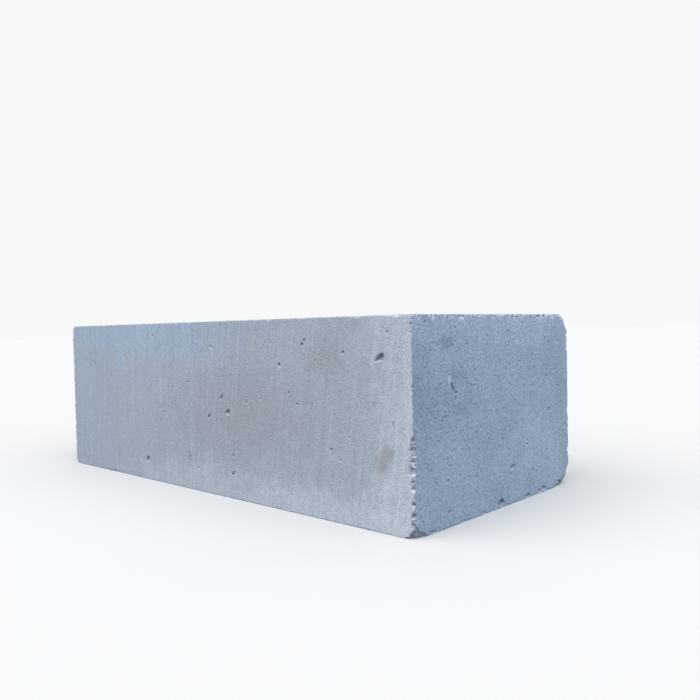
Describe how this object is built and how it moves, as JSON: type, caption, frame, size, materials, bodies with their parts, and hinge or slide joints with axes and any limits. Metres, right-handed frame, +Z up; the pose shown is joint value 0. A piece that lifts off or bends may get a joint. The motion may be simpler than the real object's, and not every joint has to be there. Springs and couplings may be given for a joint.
{
  "type": "aerated concrete block",
  "caption": "Plain rectangular block of aerated concrete, laid flat to build walls, with wire-cut faces, open gas bubbles and worn, chipped arrises.",
  "frame": {"origin": "centre of the bed face that the block lies on", "axes": "+X along the length towards the near end, whose corners are broken; +Y across the thickness, away from the front face; +Z up"},
  "size_m": [0.625, 0.3, 0.2],
  "materials": {
    "aerated_concrete": "matt, light blue-grey, finely porous autoclaved aerated concrete: smooth and wire-dragged on the long faces, rougher on the ends"
  },
  "bodies": {
    "root": {"aerated_block": "aerated_concrete"}
  },
  "joints": []
}
